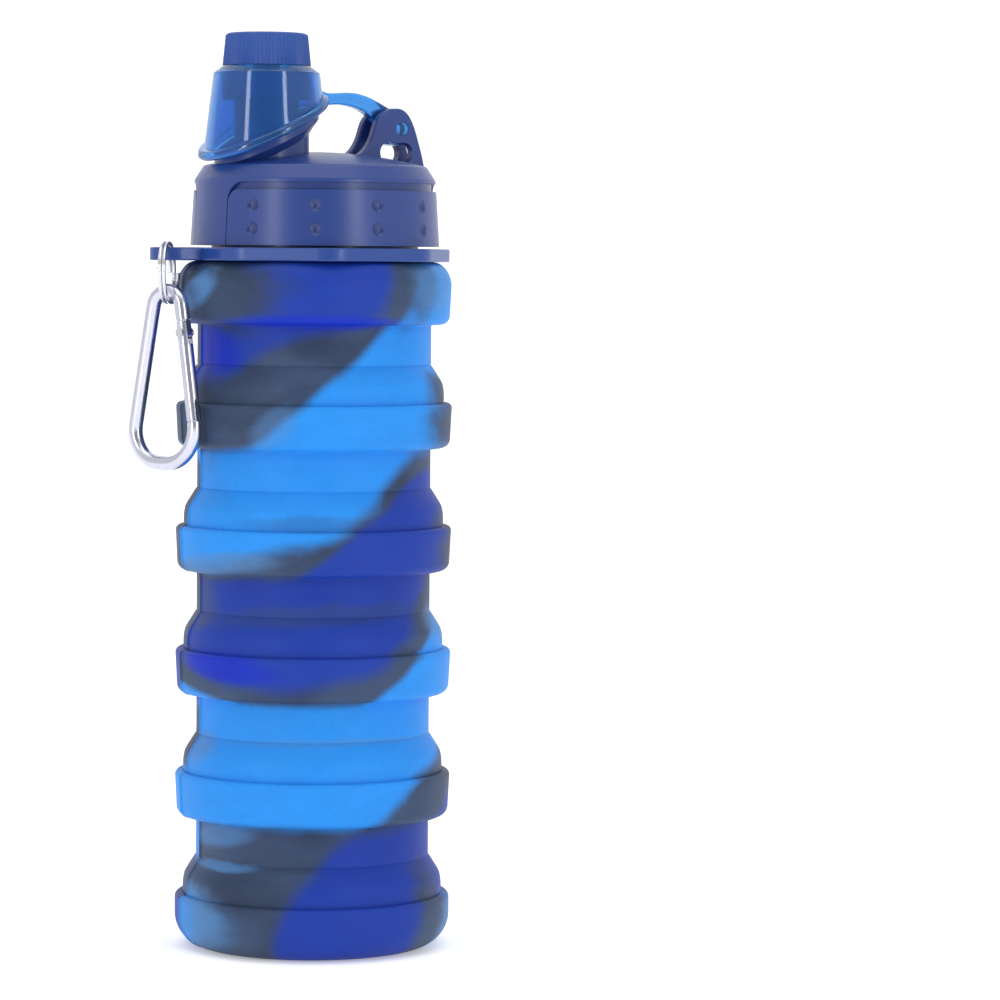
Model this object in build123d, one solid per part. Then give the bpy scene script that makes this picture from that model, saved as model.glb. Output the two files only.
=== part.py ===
from build123d import *
import os
from math import asin, atan2, cos, degrees, hypot, radians, sin

# A folding silicone water bottle of the half-litre class, standing upright.
#
# Frame: +Z up, the origin in the middle of the base's flat underside, millimetres.
# The carry tab, split ring and carabiner are on the -X side, a little towards -Y.
# The lid is screwed shut with its cap's hinge towards +X, turned by LID_YAW about +Z.
#
# Body: one silicone moulding, divided here at its fold lines. Wide rings alternate
# with narrow tubes, and a thin shouldered fold wall joins each tube to the ring below
# it. Folding turns each fold wall inside out, so the tube drops into the ring below.

# ---------------------------------------------------------------- bellows body
RING_R = 35.0  # outside of a wide ring
RING_WALL = 2.2
RING_H = 11.4
RING_DRAFT = 0.4  # a ring is this much narrower in radius at its foot
RING_TOP_EDGE = 1.2
RING_FOOT_EDGE = 2.3
TUBE_R = 29.6  # outside of a narrow tube
TUBE_WALL = 2.0
TUBE_H = 10.0
FOLD_FOOT_R = 32.9  # outside of a fold wall where it stands on its ring
FOLD_WALL = 1.5
FOLD_H = 9.8
FOLD_UPRIGHT_H = 3.4  # straight stretch at a fold wall's foot
FOLD_SHOULDER_R = 32.2
FOLD_SHOULDER_H = 5.8
LIP_H = 1.8  # inward lip on top of each ring, under its fold wall
STEP_H = 1.8  # floor of each ring, from its tube out to its wall
FOLDS = 5
PITCH = RING_H + FOLD_H + TUBE_H

BASE_H = 13.7
BASE_FLOOR = 2.4
BASE_CORNER = 8.5  # rounding of the base's lower corner
FOOT_GROOVE_R = 19.0
FOOT_GROOVE = 0.5

MOUTH_R = 34.7
MOUTH_H = 15.8
MOUTH_SHOULDER = 6.0
MOUTH_BORE_R = 27.0
MOUTH_GRIP_H = 8.0  # height of the thick wall that grips the neck collar

LOWEST_RING_Z = BASE_H + FOLD_H + TUBE_H
MOUTH_Z = LOWEST_RING_Z + (FOLDS - 1) * PITCH
BODY_TOP = MOUTH_Z + MOUTH_H

# ---------------------------------------------------------------- neck collar
PLATE_H = 3.3
PLATE_FLAT_R = 32.6  # half the width across the flats of the eight-sided plate
PLATE_CORNER = 10.0
PLATE_EDGE = 0.4
NECK_BORE_R = 24.0
NECK_R = 26.2
NECK_H = 11.0  # above the plate
SKIRT_H = 7.0
GRIP_BEAD_R = 0.6
GRIP_BEAD_DROP = 4.6  # below the plate
THREAD_PITCH = 5.5
THREAD_ROOT_HALF = 1.15
THREAD_TIP_HALF = 0.6
NECK_THREAD_R = 27.4
NECK_THREAD_TURNS = 1.25
LID_THREAD_R = 26.9
LID_THREAD_TURNS = 1.15
LID_THREAD_DROP = 1.85  # the lid's thread pulls up under the neck's
LID_THREAD_LEAD = 70.0  # degrees from the neck thread's start to the lid thread's
TAB_AZIMUTH = 200.0
TAB_REACH = 37.5  # from the bottle's axis to the middle of the tab's eye
TAB_R = 6.0
EYE_R = 3.3

PLATE_Z = BODY_TOP
NECK_Z = PLATE_Z + PLATE_H
NECK_TOP = NECK_Z + NECK_H
NECK_THREAD_Z = NECK_Z + 3.0  # middle of the neck's thread where it starts

# ---------------------------------------------------------------- lid
LID_YAW = 30.0
LID_GAP = 0.6  # between the lid's rim and the plate
LID_FOOT_R = 31.5
LID_SIDE_R = 30.5  # at the top of the tapered side
LID_SIDE_H = 16.5
LID_SHOULDER_R = 28.2
LID_SHOULDER_H = 20.1
LID_DOME_H = 23.7
LID_EDGE = 1.2
LID_BORE_R = 28.0
LID_HOLLOW_R = 22.5  # the hollow over the gasket seat, under the dome
LID_SKIN = 2.8
GASKET_H = 2.0
GASKET_R = 27.6
GASKET_PLAY = 0.05
PANEL_HALF_ANGLE = 75.0
PANEL_FLOOR_R = 29.4
PANEL_CORNER = 5.0
PANEL_GAP = 0.25
RECESS_H = 15.8
GROOVE_H = 2.0  # open groove over each grip panel
DIMPLE_R = 1.7
DIMPLE_DEPTH = 0.7
DIMPLE_SPACING = 30.0
DIMPLE_HEIGHTS = (4.2, 10.1)

LID_Z = NECK_Z + LID_GAP
LID_CEILING = NECK_TOP + GASKET_H + 2 * GASKET_PLAY
LID_DOME_Z = LID_Z + LID_DOME_H

# Spout, cap and hinge, in the lid's own frame: +X towards the hinge, unturned.
SPOUT_X = -14.2
SPOUT_NECK_R = 10.7
SPOUT_R = 8.2
SPOUT_BORE_R = 6.6
SPOUT_TOP = 216.4
SEAT_R = 13.1
SEAT_H = 4.0
SEAT_FLARE = 2.2
RIM_TILT = 26.0  # slope of the hood's rim, rising towards the hinge
RIM_Z = 206.85  # the rim's lower face, on the spout's axis
RIM_GAP = 0.15

HINGE_X = 22.9
HINGE_Z = 208.0
LUG_T = 2.5
LUG_GAP = 4.2
LUG_EDGE = 0.5
TRUNNION_R = 1.75
TRUNNION_CLEARANCE = 0.06
SLOT_W = 9.6
SLOT_H = 5.2
SLOT_DROP = 6.1

HOOD_TOP = 222.9
HOOD_EDGE_Z = 221.2
HOOD_TOP_R = 13.4
HOOD_TAPER = 0.122  # growth of the radius per unit of height, downwards
HOOD_WALL = 1.5
HOOD_ROOF = 1.8
BEAD_H = 2.3
BEAD_OUT = 1.4
ARM_W = 3.8
ARM_EYE_R = 4.3

STEM_R = 4.0
STEM_CLEARANCE = 0.08
STEM_TIP_R = 2.5
KNOB_FOOT_R = 11.1
KNOB_TOP_R = 10.4
KNOB_H = 8.1
KNOB_EDGE = 1.2
KNOB_RIBS = 64
KNOB_RIB_DEPTH = 0.3
STOPPER_GAP = 0.15
STOPPER_R = 11.2
STOPPER_BORE_R = 10.2
STOPPER_H = 2.5
STOPPER_FOOT_Z = 214.6
SEAL_R = 8.1
SEAL_GAP = 0.05
HOOK_R = 8.9  # inner reach of the stopper's two hooks
HOOK_H = 0.8
HOOK_HALF_ANGLE = 18.0
SPOUT_LUG_R = 9.5
SPOUT_LUG_H = 0.8
SPOUT_LUG_HALF_ANGLE = 18.0

KNOB_Z = HOOD_TOP + STOPPER_GAP
HOOD_CEILING = HOOD_TOP - HOOD_ROOF
STOPPER_TOP = HOOD_CEILING - STOPPER_GAP
SEAL_TOP = STOPPER_TOP - STOPPER_H

# ---------------------------------------------------------------- ring and carabiner
WIRE_R = 0.5
SPLIT_RING_R = 7.45  # to the wire's middle
SPLIT_RING_PITCH = 1.04
SPLIT_RING_TURNS = 2
SPLIT_RING_AXIS = (-36.6, -17.2, 171.0)
SPLIT_RING_AZIMUTH = 80.0  # direction of the ring's own plane
ROD_R = 1.8
CARABINER_AZIMUTH = -40.0  # direction of the carabiner's own plane
CARABINER_HANG = 1.5  # degrees that its foot leans away from the bottle
CARABINER_REST = 0.7  # from the split ring to the inside of the upper bend
BEND_TOP_R = 4.8
BEND_FOOT_R = 9.2  # lower bend on the gate's side
BEND_SPINE_R = 8.0  # lower bend on the spine's side
CARABINER_H = 43.1  # from rod middle to rod middle
CARABINER_HALF_W = 9.85
RIVET_V = -10.2  # measured downwards from the rod's middle at the top
LATCH_V = -29.0
GATE_FOOT_V = -32.0
GATE_HEAD = 2.9  # rounded head of the gate beyond its rivet
GATE_CLEARANCE = 0.3
TONGUE_T = 1.4
TONGUE_HALF_W = 1.45
FORK_SLOT = 1.8
RIVET_R = 0.8
RIVET_HEAD_R = 1.15
RIVET_HEAD_H = 0.3
LATCH_R = 0.7
NOTCH_HALF = 0.9

FOOT_BEND_X = CARABINER_HALF_W - BEND_FOOT_R
SPINE_BEND_X = BEND_SPINE_R - CARABINER_HALF_W
CARABINER_FOOT_Z = BEND_TOP_R - CARABINER_H
FOOT_BEND_Z = CARABINER_FOOT_Z + BEND_FOOT_R
SPINE_BEND_Z = CARABINER_FOOT_Z + BEND_SPINE_R


def side_lean(x, z, radius):
    """How far a straight side leans, from the top bend to a lower bend at (x, z)."""
    return atan2(x, -z) + asin((radius - BEND_TOP_R) / hypot(x, z))


GATE_LEAN = side_lean(FOOT_BEND_X, FOOT_BEND_Z, BEND_FOOT_R)
SPINE_LEAN = side_lean(-SPINE_BEND_X, SPINE_BEND_Z, BEND_SPINE_R)

LID_TURN = Rot(0, 0, LID_YAW)
SPOUT_AXIS = Pos(SPOUT_X, 0, 0)


def ring_z(number):
    """Underside of ring 1 (the mouth) to ring 5, counted downwards."""
    return LOWEST_RING_Z + (FOLDS - number) * PITCH


def path(*points):
    """Closed straight edges in the XZ plane through (radius, height) points."""
    return Polyline(*[(r, 0, z) for r, z in points], close=True)


def turned(*points):
    """A solid of revolution about Z whose section is a polygon."""
    return revolve(make_face(path(*points)), Axis.Z)


def rim_edges(body, radius, *heights):
    """Circular edges of a turned body at one radius and any of the given heights."""
    circles = body.edges().filter_by(GeomType.CIRCLE)
    near = [e for e in circles if abs(e.radius - radius) < 0.01]
    return [e for e in near if any(abs(e.center().Z - h) < 0.01 for h in heights)]


def sector_block(inner, outer, low, high, middle, half_angle):
    """Part of a thick tube about Z, spanning half_angle each side of an azimuth."""
    face = make_face(path((inner, low), (outer, low), (outer, high), (inner, high)))
    return revolve(Rot(0, 0, middle - half_angle) * face, Axis.Z, 2 * half_angle)


# ---------------------------------------------------------------- bellows body


def fold_wall(foot_z):
    """Thin shouldered wall from a ring's lip up to the tube above it."""
    outer = [
        (FOLD_FOOT_R, foot_z),
        (FOLD_FOOT_R, foot_z + FOLD_UPRIGHT_H),
        (FOLD_SHOULDER_R, foot_z + FOLD_SHOULDER_H),
        (TUBE_R, foot_z + FOLD_H),
    ]
    inner = [(r - FOLD_WALL, z) for r, z in reversed(outer)]
    wall = turned(*outer, *inner)
    creases = wall.edges().filter_by(GeomType.CIRCLE)
    bends = [e for e in creases if foot_z + 1 < e.center().Z < foot_z + FOLD_H - 1]
    return fillet(bends, 1.5)


def ring_and_tube(number):
    """One wide ring with its floor and the narrow tube that hangs from it."""
    low = ring_z(number)
    high = low + RING_H
    bore = RING_R - RING_WALL
    lip = FOLD_FOOT_R - FOLD_WALL
    tube_bore = TUBE_R - TUBE_WALL
    body = turned(
        (lip, high), (RING_R, high), (RING_R - RING_DRAFT, low), (TUBE_R, low), (TUBE_R, low - TUBE_H),
        (tube_bore, low - TUBE_H), (tube_bore, low + STEP_H), (bore, low + STEP_H),
        (bore, high - LIP_H), (lip, high - LIP_H),
    )
    body = fillet(rim_edges(body, RING_R, high), RING_TOP_EDGE)
    return fillet(rim_edges(body, RING_R - RING_DRAFT, low), RING_FOOT_EDGE)


def mouth_ring():
    """Top ring: its thick upper wall grips the neck collar, and a tube hangs below."""
    low = MOUTH_Z
    bore = MOUTH_R - RING_WALL
    tube_bore = TUBE_R - TUBE_WALL
    grip = BODY_TOP - MOUTH_GRIP_H
    bead = BODY_TOP - GRIP_BEAD_DROP
    body = turned(
        (MOUTH_BORE_R, BODY_TOP), (MOUTH_R, BODY_TOP), (MOUTH_R, low), (TUBE_R, low),
        (TUBE_R, low - TUBE_H), (tube_bore, low - TUBE_H), (tube_bore, low + STEP_H),
        (bore, low + STEP_H), (bore, grip - 3.0), (MOUTH_BORE_R, grip),
        (MOUTH_BORE_R, bead - GRIP_BEAD_R), (MOUTH_BORE_R + GRIP_BEAD_R, bead),
        (MOUTH_BORE_R, bead + GRIP_BEAD_R),
    )
    body = fillet(rim_edges(body, MOUTH_R, low), RING_FOOT_EDGE)
    return fillet(rim_edges(body, MOUTH_R, BODY_TOP), MOUTH_SHOULDER)


def base_cup():
    """Bottom cup with a flat foot, a fine ring groove under it and a lip on top."""
    bore = RING_R - RING_WALL
    lip = FOLD_FOOT_R - FOLD_WALL
    body = turned(
        (0, 0), (FOOT_GROOVE_R - FOOT_GROOVE, 0), (FOOT_GROOVE_R, FOOT_GROOVE),
        (FOOT_GROOVE_R + FOOT_GROOVE, 0), (RING_R, 0), (RING_R, BASE_H), (lip, BASE_H),
        (lip, BASE_H - LIP_H), (bore, BASE_H - LIP_H), (bore, BASE_FLOOR), (0, BASE_FLOOR),
    )
    body = fillet(rim_edges(body, RING_R, BASE_H), RING_TOP_EDGE)
    body = fillet(rim_edges(body, RING_R, 0), BASE_CORNER)
    return fillet(rim_edges(body, bore, BASE_FLOOR), BASE_CORNER - RING_WALL)


# ---------------------------------------------------------------- neck collar


def thread_ridge(wall_r, tip_r, start_z, start_angle, turns):
    """A helical ridge of trapezoid section that grows from a round wall."""
    outward = 1 if tip_r > wall_r else -1
    root = wall_r - 0.4 * outward
    helix = Helix(pitch=THREAD_PITCH, height=THREAD_PITCH * turns, radius=wall_r)
    section = make_face(path(
        (root, -THREAD_ROOT_HALF), (tip_r, -THREAD_TIP_HALF),
        (tip_r, THREAD_TIP_HALF), (root, THREAD_ROOT_HALF),
    ))
    ridge = sweep(section, path=helix, is_frenet=True)
    return Pos(0, 0, start_z) * Rot(0, 0, start_angle) * ridge


def collar_plan():
    """Plan of the collar's plate: a softened octagon with the carry tab."""
    octagon = RegularPolygon(PLATE_FLAT_R, 8, major_radius=False)
    octagon = Rot(0, 0, 22.5 + LID_YAW) * fillet(octagon.vertices(), PLATE_CORNER)
    bridge = Pos(TAB_REACH - TAB_R, 0) * Rectangle(2 * TAB_R, 2 * TAB_R)
    tab = Pos(TAB_REACH, 0) * Circle(TAB_R) + bridge
    return octagon + Rot(0, 0, TAB_AZIMUTH) * tab


def neck_collar():
    """Hard collar in the bottle's mouth: carry plate, threaded neck and gripped skirt."""
    plate = Pos(0, 0, PLATE_Z) * extrude(collar_plan(), PLATE_H)
    plate = fillet(plate.faces().filter_by(Axis.Z).edges(), PLATE_EDGE)
    bead = PLATE_Z - GRIP_BEAD_DROP
    tube = turned(
        (NECK_BORE_R, PLATE_Z - SKIRT_H), (MOUTH_BORE_R, PLATE_Z - SKIRT_H),
        (MOUTH_BORE_R, bead - GRIP_BEAD_R), (MOUTH_BORE_R + GRIP_BEAD_R, bead),
        (MOUTH_BORE_R, bead + GRIP_BEAD_R), (MOUTH_BORE_R, PLATE_Z + 1),
        (NECK_R, PLATE_Z + 1), (NECK_R, NECK_TOP), (NECK_BORE_R, NECK_TOP),
    )
    tube = fillet(rim_edges(tube, NECK_R, NECK_TOP), 0.6)
    ridge = thread_ridge(NECK_R, NECK_THREAD_R, NECK_THREAD_Z, 0, NECK_THREAD_TURNS)
    collar = plate + tube + ridge
    collar -= Pos(0, 0, PLATE_Z) * Cylinder(NECK_BORE_R, 60)
    eye = Rot(0, 0, TAB_AZIMUTH) * Pos(TAB_REACH, 0, PLATE_Z) * Cylinder(EYE_R, 30)
    collar -= eye
    eye_rims = [e for e in collar.edges().filter_by(GeomType.CIRCLE) if abs(e.radius - EYE_R) < 0.01]
    return fillet(eye_rims, PLATE_EDGE)


# ---------------------------------------------------------------- lid


def lid_side_r(height):
    """Outside radius of the lid's tapered side, at a height above its rim."""
    return LID_FOOT_R + height / LID_SIDE_H * (LID_SIDE_R - LID_FOOT_R)


def panel_block(low, high, outer_low, outer_high, half_angle, corner):
    """A curved slab facing -Y on the lid's side, with rounded upper corners."""
    face = make_face(path(
        (PANEL_FLOOR_R, low), (outer_low, low), (outer_high, high), (PANEL_FLOOR_R, high),
    ))
    slab = revolve(Rot(0, 0, -90 - half_angle) * face, Axis.Z, 2 * half_angle)
    ends = slab.edges().filter_by(GeomType.LINE)
    return fillet([e for e in ends if abs(e.center().Z - high) < 0.01], corner)


def grip_panel(side):
    """Grip panel let into the lid's side (side -1 at -Y), with rows of dimples."""
    high = RECESS_H - GROOVE_H
    inset = degrees(PANEL_GAP / LID_FOOT_R)
    panel = panel_block(
        LID_Z, LID_Z + high, lid_side_r(0), lid_side_r(high),
        PANEL_HALF_ANGLE - inset, PANEL_CORNER - GROOVE_H + PANEL_GAP,
    )
    ball_r = (DIMPLE_R**2 + DIMPLE_DEPTH**2) / (2 * DIMPLE_DEPTH)
    ball = Rot(0, 90, 0) * Sphere(ball_r)
    for height in DIMPLE_HEIGHTS:
        reach = lid_side_r(height) + ball_r - DIMPLE_DEPTH
        for step in range(-2, 3):
            azimuth = step * DIMPLE_SPACING - 90
            panel -= Rot(0, 0, azimuth) * Pos(reach, 0, LID_Z + height) * ball
    return LID_TURN * Rot(0, 0, 90 + 90 * side) * panel


def domed(side_foot, side_top, shoulder, top_z):
    """A round block with a tapered side, a slanted shoulder and a spherical dome."""
    rise = top_z - shoulder[1]
    ball_r = (shoulder[0] ** 2 + rise**2) / (2 * rise)
    block = turned(
        (0, side_foot[1]), side_foot, side_top, shoulder, (shoulder[0], top_z), (0, top_z),
    )
    return block & Pos(0, 0, top_z - ball_r) * Rot(90, 0, 0) * Sphere(ball_r)


def rim_slab(height, thickness):
    """A slab along the hood's rim plane, hanging from a height on the spout's axis."""
    slab = Box(90, 90, thickness, align=(Align.CENTER, Align.CENTER, Align.MAX))
    return Pos(0, 0, height) * Rot(0, -RIM_TILT, 0) * slab


def hinge_lugs():
    """Two upright lugs that carry the flip cap's trunnions, with a lanyard slot."""
    x, z, foot = HINGE_X, HINGE_Z, HINGE_Z - 13.0
    front = Spline(
        (x - 14.6, 0, z - 7.4), (x - 11.7, 0, z - 6.1), (x - 10.0, 0, z - 4.3),
        (x - 8.5, 0, z - 1.2), (x - 7.2, 0, z + 2.2), (x - 5.2, 0, z + 4.3), (x - 2.0, 0, z + 5.1),
    )
    back = Spline(
        (x - 2.0, 0, z + 5.1), (x + 1.2, 0, z + 4.3), (x + 3.2, 0, z + 1.6),
        (x + 5.0, 0, z - 3.2), (x + 6.4, 0, z - 8.0), (x + 7.2, 0, foot),
    )
    under = Polyline((x + 7.2, 0, foot), (x - 14.6, 0, foot), (x - 14.6, 0, z - 7.4))
    face = make_face(Curve() + [front, back, under])
    slot = Pos(x - 1.7, 0, z - SLOT_DROP) * Rot(90, 0, 0) * RectangleRounded(SLOT_W, SLOT_H, 2.5)
    lugs = []
    for side in (-1, 1):
        middle = side * (LUG_GAP + LUG_T) / 2
        lug = Pos(0, middle, 0) * extrude(face, LUG_T / 2, both=True)
        lug -= extrude(slot, 20, both=True)
        sides = lug.faces().filter_by(Axis.Y).edges()
        lug = fillet(sides.filter_by(GeomType.BSPLINE), LUG_EDGE)
        hole = Pos(x, 0, z) * Rot(90, 0, 0) * Cylinder(TRUNNION_R + TRUNNION_CLEARANCE, 40)
        lugs.append(lug - hole)
    return lugs


def lid_shell():
    """Screw lid: threaded skirt, dome, spout with its oblique seat, and hinge lugs."""
    side_top = (LID_SIDE_R, LID_Z + LID_SIDE_H)
    shoulder = (LID_SHOULDER_R, LID_Z + LID_SHOULDER_H)
    body = domed((LID_FOOT_R, LID_Z), side_top, shoulder, LID_DOME_Z)
    body = fillet(rim_edges(body, *side_top) + rim_edges(body, *shoulder), LID_EDGE)
    recess = panel_block(LID_Z - 1, LID_Z + RECESS_H, 36, 36, PANEL_HALF_ANGLE, PANEL_CORNER)
    body -= recess + Rot(0, 0, 180) * recess

    # Spout: round neck, flared oblique seat for the hood's rim, and the nozzle.
    neck = SPOUT_AXIS * Pos(0, 0, LID_Z + 18) * Cylinder(SPOUT_NECK_R, 40, align=(
        Align.CENTER, Align.CENTER, Align.MIN))
    neck &= SPOUT_AXIS * rim_slab(RIM_Z - RIM_GAP, 60)
    seat = SPOUT_AXIS * Pos(0, 0, 190) * Cylinder(SEAT_R, 60)
    seat &= SPOUT_AXIS * rim_slab(RIM_Z - RIM_GAP, SEAT_H)
    under = seat.faces().sort_by(Axis.Z)[0]
    seat = chamfer(under.edges(), SEAT_FLARE)
    nozzle_h = SPOUT_TOP - LID_DOME_Z + 4
    nozzle = SPOUT_AXIS * Pos(0, 0, SPOUT_TOP) * Cylinder(SPOUT_R, nozzle_h, align=(
        Align.CENTER, Align.CENTER, Align.MAX))
    for azimuth in (0, 180):
        lug_top = SPOUT_TOP - 0.15
        nozzle += SPOUT_AXIS * sector_block(
            SPOUT_R - 0.5, SPOUT_LUG_R, lug_top - SPOUT_LUG_H, lug_top,
            azimuth, SPOUT_LUG_HALF_ANGLE,
        )
    body += neck
    body += seat
    body += nozzle
    for lug in hinge_lugs():
        body += lug

    # Inside: the bore over the neck, the hollow under the dome, and the thread.
    body -= turned((0, LID_Z - 2), (LID_BORE_R, LID_Z - 2), (LID_BORE_R, LID_CEILING), (0, LID_CEILING))
    body -= domed(
        (LID_HOLLOW_R, LID_CEILING - 1), (LID_HOLLOW_R, LID_CEILING + 3),
        (LID_HOLLOW_R - 3, LID_CEILING + 5), LID_DOME_Z - LID_SKIN,
    )
    body -= SPOUT_AXIS * Pos(0, 0, LID_DOME_Z) * Cylinder(SPOUT_BORE_R, 60)
    drop = THREAD_PITCH * LID_THREAD_LEAD / 360 - LID_THREAD_DROP
    ridge = thread_ridge(
        LID_BORE_R, LID_THREAD_R, NECK_THREAD_Z + drop, LID_THREAD_LEAD - LID_YAW, LID_THREAD_TURNS,
    )
    return LID_TURN * (body + ridge)


def lid_gasket():
    """Flat sealing ring between the neck's rim and the lid."""
    low = NECK_TOP + GASKET_PLAY
    high = low + GASKET_H
    return turned((NECK_BORE_R + 0.3, low), (GASKET_R, low), (GASKET_R, high), (NECK_BORE_R + 0.3, high))


# ---------------------------------------------------------------- flip cap


def hood_r(z):
    """Outside radius of the hood's tapered side at a height."""
    return HOOD_TOP_R + HOOD_TAPER * (HOOD_EDGE_Z - z)


def hood_cone(extra, top_z):
    """The hood's outer form grown or shrunk by extra, down past its rim."""
    foot = 190.0
    return turned(
        (0, foot), (hood_r(foot) + extra, foot), (hood_r(top_z) + extra, top_z), (0, top_z),
    )


def cap_hood():
    """Translucent flip hood: tapered cup, beaded oblique rim, arched arm and trunnions."""
    cup = hood_cone(0, HOOD_TOP)
    cup = chamfer(cup.edges().filter_by(GeomType.CIRCLE).sort_by(Axis.Z)[-1], 1.7, 2.0)
    low_side = rim_slab(RIM_Z, 60)
    cup -= low_side
    bead = hood_cone(BEAD_OUT, HOOD_EDGE_Z) & rim_slab(RIM_Z + BEAD_H / cos(radians(RIM_TILT)), BEAD_H)
    long_edges = [e for e in bead.edges() if e.length > 50]
    bead = fillet(long_edges, 0.9)
    hood = SPOUT_AXIS * (cup + bead)

    x, z = HINGE_X, HINGE_Z
    upper = Spline(
        (-1.1, 0, 220.0), (0.2, 0, 218.0), (1.9, 0, 216.9), (4.9, 0, 216.7), (10.3, 0, 216.9),
        (16.2, 0, 215.4), (x - 2.9, 0, z + 5.6), (x + 1.5, 0, z + 4.0),
    )
    lower = Spline(
        (x + 1.5, 0, z - 1.0), (x - 5.2, 0, z + 1.2), (13.3, 0, 212.3), (9.8, 0, 213.4),
        (5.2, 0, 213.8), (1.6, 0, 213.2), (-1.1, 0, 211.8),
    )
    ends = [
        Line((x + 1.5, 0, z + 4.0), (x + 1.5, 0, z - 1.0)),
        Line((-1.1, 0, 211.8), (-1.1, 0, 220.0)),
    ]
    band = extrude(make_face(Curve() + [upper, lower] + ends), ARM_W / 2, both=True)
    band = fillet(band.faces().filter_by(Axis.Y).edges().filter_by(GeomType.BSPLINE), 0.8)
    across = Pos(x, 0, z) * Rot(90, 0, 0)
    hood += band
    hood += across * Cylinder(ARM_EYE_R, ARM_W)
    hood += across * Cylinder(TRUNNION_R, LUG_GAP + 2 * LUG_T - 0.4)
    hood -= SPOUT_AXIS * hood_cone(-HOOD_WALL, HOOD_CEILING)
    hood -= SPOUT_AXIS * Pos(0, 0, HOOD_TOP) * Cylinder(STEM_R + STEM_CLEARANCE, 12)
    return LID_TURN * hood


def cap_knob():
    """Ribbed knob on top of the hood, with the stem that turns the stopper."""
    form = turned((0, 0), (KNOB_FOOT_R, 0), (KNOB_TOP_R, KNOB_H), (0, KNOB_H))
    form = fillet(form.edges().filter_by(GeomType.CIRCLE).sort_by(Axis.Z)[-1], KNOB_EDGE)
    star = []
    for step in range(2 * KNOB_RIBS):
        radius = KNOB_FOOT_R - KNOB_RIB_DEPTH * (step % 2)
        angle = radians(180 / KNOB_RIBS * step)
        star.append((radius * cos(angle), radius * sin(angle)))
    lean = degrees((KNOB_FOOT_R - KNOB_TOP_R) / KNOB_H)
    ribbed = extrude(make_face(Polyline(*star, close=True)), KNOB_H, taper=lean)
    knob = Pos(0, 0, KNOB_Z) * (ribbed & form)
    stem = turned(
        (0, SEAL_TOP), (STEM_TIP_R, SEAL_TOP), (STEM_TIP_R, STOPPER_TOP),
        (STEM_R, STOPPER_TOP), (STEM_R, KNOB_Z + 1), (0, KNOB_Z + 1),
    )
    return LID_TURN * SPOUT_AXIS * (knob + stem)


def cap_stopper():
    """Cup on the knob's stem whose two hooks turn under the nozzle's lugs."""
    body = turned(
        (STEM_TIP_R, STOPPER_TOP), (STOPPER_R, STOPPER_TOP), (STOPPER_R, STOPPER_FOOT_Z),
        (STOPPER_BORE_R, STOPPER_FOOT_Z), (STOPPER_BORE_R, SEAL_TOP), (STEM_TIP_R, SEAL_TOP),
    )
    body = fillet(rim_edges(body, STOPPER_R, STOPPER_TOP), 0.8)
    for azimuth in (90, 270):
        body += sector_block(
            HOOK_R, STOPPER_BORE_R + 0.4, STOPPER_FOOT_Z, STOPPER_FOOT_Z + HOOK_H,
            azimuth, HOOK_HALF_ANGLE,
        )
    return LID_TURN * SPOUT_AXIS * body


def cap_seal():
    """Soft disc under the stopper that closes the nozzle's mouth."""
    low = SPOUT_TOP + SEAL_GAP
    return LID_TURN * SPOUT_AXIS * turned((0, low), (SEAL_R, low), (SEAL_R, SEAL_TOP), (0, SEAL_TOP))


# ---------------------------------------------------------------- ring and carabiner


def split_ring():
    """Two-turn wire ring through the carry tab's eye."""
    height = SPLIT_RING_PITCH * SPLIT_RING_TURNS
    helix = Helix(pitch=SPLIT_RING_PITCH, height=height, radius=SPLIT_RING_R)
    section = Pos(SPLIT_RING_R, 0, 0) * Rot(90, 0, 0) * Circle(WIRE_R)
    coil = sweep(section, path=helix, is_frenet=True)
    coil = Pos(0, 0, -height / 2) * coil
    return Pos(*SPLIT_RING_AXIS) * Rot(0, 0, SPLIT_RING_AZIMUTH) * Rot(90, 0, 0) * coil


def carabiner_place():
    """From the carabiner's own frame (X across, Z up, the upper bend's middle at 0)."""
    x, y, z = SPLIT_RING_AXIS
    bend_z = z - SPLIT_RING_R + WIRE_R + CARABINER_REST + ROD_R - BEND_TOP_R
    return Pos(x, y, bend_z) * Rot(0, 0, CARABINER_AZIMUTH) * Rot(0, CARABINER_HANG, 0)


def rod_line():
    """The rod's middle line: a closed pear shape, small bend at the top, wide one by the gate."""
    r1, r2, r3 = BEND_TOP_R, BEND_FOOT_R, BEND_SPINE_R
    c, s = cos(GATE_LEAN), sin(GATE_LEAN)
    c3, s3 = cos(SPINE_LEAN), sin(SPINE_LEAN)
    gate_turn, spine_turn = (GATE_LEAN - radians(90)) / 2, (SPINE_LEAN - radians(90)) / 2
    top = ThreePointArc((-r1 * c3, 0, r1 * s3), (0, 0, r1), (r1 * c, 0, r1 * s))
    gate_side = Line(top @ 1, (FOOT_BEND_X + r2 * c, 0, FOOT_BEND_Z + r2 * s))
    gate_bend = ThreePointArc(
        gate_side @ 1,
        (FOOT_BEND_X + r2 * cos(gate_turn), 0, FOOT_BEND_Z + r2 * sin(gate_turn)),
        (FOOT_BEND_X, 0, CARABINER_FOOT_Z),
    )
    foot = Line(gate_bend @ 1, (SPINE_BEND_X, 0, CARABINER_FOOT_Z))
    spine_bend = ThreePointArc(
        foot @ 1,
        (SPINE_BEND_X - r3 * cos(spine_turn), 0, SPINE_BEND_Z + r3 * sin(spine_turn)),
        (SPINE_BEND_X - r3 * c3, 0, SPINE_BEND_Z + r3 * s3),
    )
    return [top, gate_side, gate_bend, foot, spine_bend, Line(spine_bend @ 1, top @ 0)]


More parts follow.
